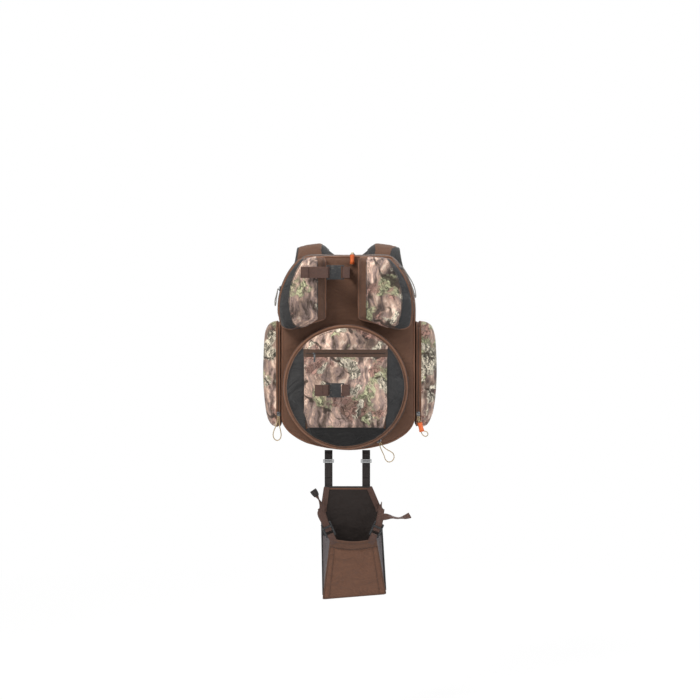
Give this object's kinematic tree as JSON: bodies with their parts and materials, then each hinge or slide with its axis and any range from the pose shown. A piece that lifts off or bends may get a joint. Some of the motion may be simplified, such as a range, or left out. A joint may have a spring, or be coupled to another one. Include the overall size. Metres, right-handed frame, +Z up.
{
  "type": "hunting backpack",
  "caption": "Backpack with zipped front and side pockets, padded shoulder straps, two retaining straps across the front and a boot hung below to carry a long gun.",
  "frame": {"origin": "inside face of the haul loop at its middle, where a hook holds the pack", "axes": "+Z up, -Y the front with the pockets, +Y towards the wearer's back, +X to the right as seen from the front"},
  "size_m": [0.396, 0.3555, 0.8185],
  "materials": {
    "brown_cloth": "matte coated weave",
    "padded_cloth": "matte weave over foam",
    "mesh_cloth": "spacer mesh over foam",
    "printed_cloth": "matte weave with a printed bark and leaf pattern",
    "charcoal_cloth": "matte weave",
    "webbing": "ribbed webbing",
    "black_plastic": "moulded, slight sheen",
    "zip_metal": "grey die-cast",
    "pull_cord": "braided cord with moulded sleeves"
  },
  "bodies": {
    "pack": {"main_bag": "brown_cloth", "back_panel": "brown_cloth", "left_upper_pocket": "brown_cloth", "right_upper_pocket": "brown_cloth", "lower_pocket": "brown_cloth", "left_side_pocket": "brown_cloth", "right_side_pocket": "brown_cloth", "left_shoulder_strap": "padded_cloth", "right_shoulder_strap": "padded_cloth", "back_pad": "mesh_cloth", "lumbar_pad": "mesh_cloth", "left_upper_panel": "printed_cloth", "right_upper_panel": "printed_cloth", "lower_pocket_top_panel": "printed_cloth", "lower_pocket_front_panel": "printed_cloth", "left_side_panel": "printed_cloth", "right_side_panel": "printed_cloth", "left_upper_strip": "charcoal_cloth", "right_upper_strip": "charcoal_cloth", "lower_pocket_left_strip": "charcoal_cloth", "lower_pocket_right_strip": "charcoal_cloth", "lower_pocket_base_panel": "charcoal_cloth", "haul_loop": "webbing", "left_lower_webbing": "webbing", "right_lower_webbing": "webbing", "upper_strap_anchor": "webbing", "upper_strap_web": "webbing", "lower_strap_anchor": "webbing", "lower_strap_web": "webbing", "upper_strap_socket": "black_plastic", "lower_strap_socket": "black_plastic"},
    "boot": {"boot_hanger": "webbing", "boot_rear_panel": "brown_cloth", "boot_front_panel": "brown_cloth", "boot_gusset": "brown_cloth", "boot_left_lock": "black_plastic", "boot_right_lock": "black_plastic", "boot_left_tail": "webbing", "boot_right_tail": "webbing"},
    "sternum_strap": {"sternum_web_left": "webbing", "sternum_socket": "black_plastic", "sternum_web_right": "webbing"},
    "sternum_plug": {"sternum_plug": "black_plastic"},
    "upper_strap_plug": {"upper_strap_plug": "black_plastic", "upper_strap_tail": "webbing"},
    "lower_strap_plug": {"lower_strap_plug": "black_plastic", "lower_strap_tail": "webbing"},
    "main_slider": {"main_zip_slider": "zip_metal", "main_zip_pull": "pull_cord"},
    "left_upper_slider": {"left_upper_zip_slider": "zip_metal", "left_upper_zip_pull": "pull_cord"},
    "right_upper_slider": {"right_upper_zip_slider": "zip_metal", "right_upper_zip_pull": "pull_cord"},
    "left_side_slider": {"left_side_zip_slider": "zip_metal", "left_side_zip_pull": "pull_cord"},
    "right_side_slider": {"right_side_zip_slider": "zip_metal", "right_side_zip_pull": "pull_cord"},
    "lower_slider": {"lower_zip_slider": "zip_metal", "lower_zip_pull": "pull_cord"},
    "front_slider": {"front_zip_slider": "zip_metal"}
  },
  "joints": [
    {"name": "boot_swing", "type": "hinge", "parent": "pack", "child": "boot", "pos_m": [0, -0.1563, -0.4276], "axis": [1, 0, 0], "range_deg": [-60, 10]},
    {"name": "sternum_height", "type": "slide", "parent": "pack", "child": "sternum_strap", "axis": [0, 0, 1], "range_m": [-0.03, 0.03]},
    {"name": "sternum_release", "type": "slide", "parent": "sternum_strap", "child": "sternum_plug", "axis": [1, 0, 0], "range_m": [0, 0.02], "deforming": ["sternum_web_right"]},
    {"name": "upper_strap_release", "type": "slide", "parent": "pack", "child": "upper_strap_plug", "axis": [-1, 0, 0], "range_m": [0, 0.02], "deforming": ["upper_strap_web"]},
    {"name": "lower_strap_release", "type": "slide", "parent": "pack", "child": "lower_strap_plug", "axis": [-1, 0, 0], "range_m": [0, 0.02], "deforming": ["lower_strap_web"]},
    {"name": "main_zip_run", "type": "slide", "parent": "pack", "child": "main_slider", "axis": [1, 0, 0], "range_m": [-0.05, 0]},
    {"name": "left_upper_zip_run", "type": "hinge", "parent": "pack", "child": "left_upper_slider", "pos_m": [-0.003, -0.1863, -0.104], "axis": [0, 1, 0], "range_deg": [-15, 28]},
    {"name": "right_upper_zip_run", "type": "hinge", "parent": "pack", "child": "right_upper_slider", "pos_m": [-0.009, -0.1863, -0.104], "axis": [0, 1, 0], "range_deg": [-9, 36]},
    {"name": "left_side_zip_run", "type": "slide", "parent": "pack", "child": "left_side_slider", "axis": [0, 0, 1], "range_m": [0, 0.155]},
    {"name": "right_side_zip_run", "type": "slide", "parent": "pack", "child": "right_side_slider", "axis": [0, 0, 1], "range_m": [0, 0.155]},
    {"name": "front_zip_run", "type": "slide", "parent": "pack", "child": "front_slider", "axis": [1, 0, 0], "range_m": [0, 0.14]},
    {"name": "lower_zip_run", "type": "hinge", "parent": "pack", "child": "lower_slider", "pos_m": [-0.006, -0.1823, -0.281], "axis": [0, 1, 0], "range_deg": [-45, 0]}
  ]
}
